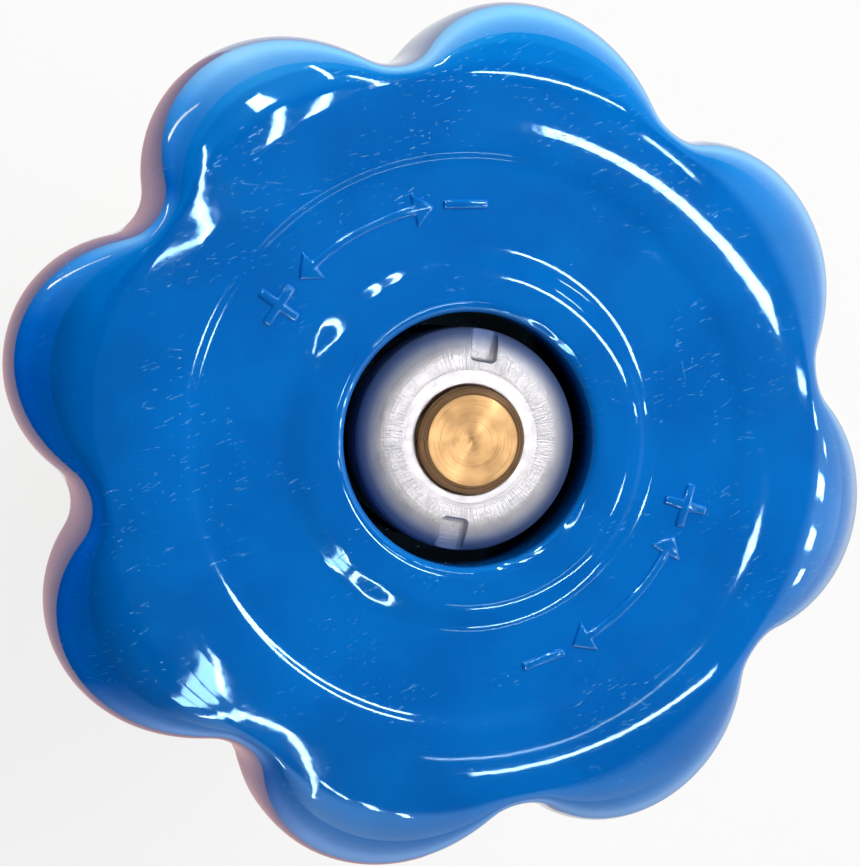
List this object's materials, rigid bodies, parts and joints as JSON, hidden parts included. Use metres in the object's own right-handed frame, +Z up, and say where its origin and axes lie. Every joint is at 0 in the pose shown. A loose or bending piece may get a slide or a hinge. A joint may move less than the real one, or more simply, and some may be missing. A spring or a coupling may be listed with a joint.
{
  "type": "pressure holding valve",
  "caption": "Hand-operated gas valve with a lobed plastic handwheel, brass body, threaded inlet stem, and a pressure holding cartridge in its side outlet.",
  "frame": {"origin": "centre of the body's seat face, on the spindle's axis", "axes": "+Z up the spindle towards the handwheel, +X along the outlet"},
  "size_m": [0.0713, 0.0666, 0.1087],
  "materials": {
    "wheel_plastic": "glossy moulded blue plastic, lightly scratched",
    "dark_zinc": "dark phosphated steel",
    "nut_steel": "turned and zinc plated",
    "spindle_brass": "turned brass",
    "body_brass": "forged and machined brass",
    "cartridge_brass": "turned brass",
    "spring_steel": "drawn stainless steel",
    "white_polymer": "smooth white PTFE",
    "black_rubber": "smooth black rubber",
    "washer_copper": "soft copper"
  },
  "bodies": {
    "body": {"valve_body": "body_brass", "gland_nut": "body_brass", "slip_washer": "white_polymer", "dust_seal": "black_rubber", "thrust_washer": "white_polymer", "inlet_o_ring": "black_rubber", "pressure_cartridge": "cartridge_brass", "cartridge_piston": "spring_steel", "piston_seal": "black_rubber", "piston_spring": "spring_steel", "cartridge_clip": "spring_steel", "relief_plug": "cartridge_brass", "relief_washer": "washer_copper"},
    "wheel": {"handwheel": "wheel_plastic", "drive_insert": "dark_zinc", "retaining_nut": "nut_steel", "spindle": "spindle_brass", "wheel_spring": "spring_steel", "lower_spindle": "spindle_brass", "seat_disc": "white_polymer"}
  },
  "joints": [
    {"name": "wheel_turn", "type": "hinge", "parent": "body", "child": "wheel", "pos_m": [0, 0, 0.065], "axis": [0, 0, 1], "range_deg": [0, 540]}
  ]
}
